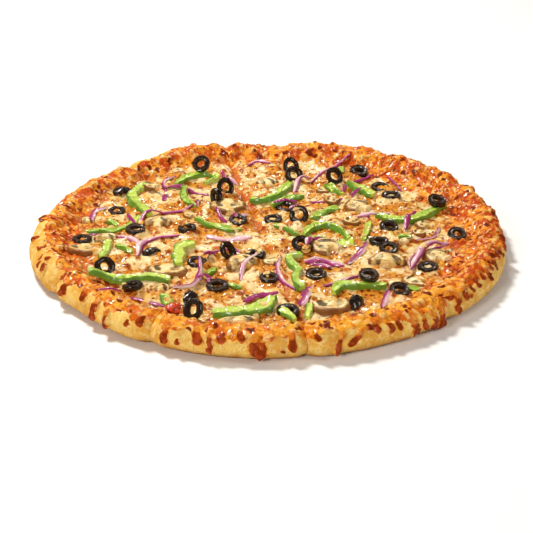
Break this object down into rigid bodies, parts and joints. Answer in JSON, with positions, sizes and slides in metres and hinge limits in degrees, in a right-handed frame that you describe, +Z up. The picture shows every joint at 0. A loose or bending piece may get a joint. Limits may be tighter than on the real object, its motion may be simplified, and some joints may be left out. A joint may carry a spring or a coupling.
{
  "type": "vegetable pizza",
  "caption": "Round baked vegetable pizza, cut into slices that keep the round, with a raised crust, melted cheese, olives, peppers, onion and mushrooms; lies flat.",
  "frame": {"origin": "middle of the flat underside, under the middle of the outline's box", "axes": "+Z up out of the topped face, -Y towards the viewer of the picture, +X to that viewer's right"},
  "size_m": [0.3566, 0.3548, 0.0311],
  "materials": {
    "crust": "baked dough and melted cheese, uneven, slightly oily",
    "olive": "moist, glossy",
    "pepper": "moist, glossy skin",
    "onion": "moist, half clear, purple edge",
    "mushroom": "baked, soft, dark gills",
    "tomato": "moist, glossy"
  },
  "bodies": {
    "root": {"slice_01": "crust", "slice_02": "crust", "slice_03": "crust", "slice_04": "crust", "slice_05": "crust", "slice_06": "crust", "slice_07": "crust", "slice_08": "crust", "slice_09": "crust", "slice_10": "crust", "mushroom_01": "mushroom", "mushroom_02": "mushroom", "mushroom_03": "mushroom", "mushroom_04": "mushroom", "mushroom_05": "mushroom", "olive_01": "olive", "olive_02": "olive", "olive_03": "olive", "olive_04": "olive", "olive_05": "olive", "olive_06": "olive", "olive_07": "olive", "olive_08": "olive", "olive_09": "olive", "olive_10": "olive", "olive_11": "olive", "olive_12": "olive", "olive_13": "olive", "olive_14": "olive", "olive_15": "olive", "olive_16": "olive", "olive_17": "olive", "olive_18": "olive", "olive_19": "olive", "olive_20": "olive", "olive_21": "olive", "olive_22": "olive", "olive_23": "olive", "olive_24": "olive", "onion_01": "onion", "onion_02": "onion", "onion_03": "onion", "onion_04": "onion", "onion_05": "onion", "onion_06": "onion", "onion_07": "onion", "onion_08": "onion", "pepper_01": "pepper", "pepper_02": "pepper", "pepper_03": "pepper", "pepper_04": "pepper", "pepper_05": "pepper", "pepper_06": "pepper", "pepper_07": "pepper", "pepper_08": "pepper", "pepper_09": "pepper", "pepper_10": "pepper", "pepper_11": "pepper", "pepper_12": "pepper", "tomato_01": "tomato"}
  },
  "joints": []
}
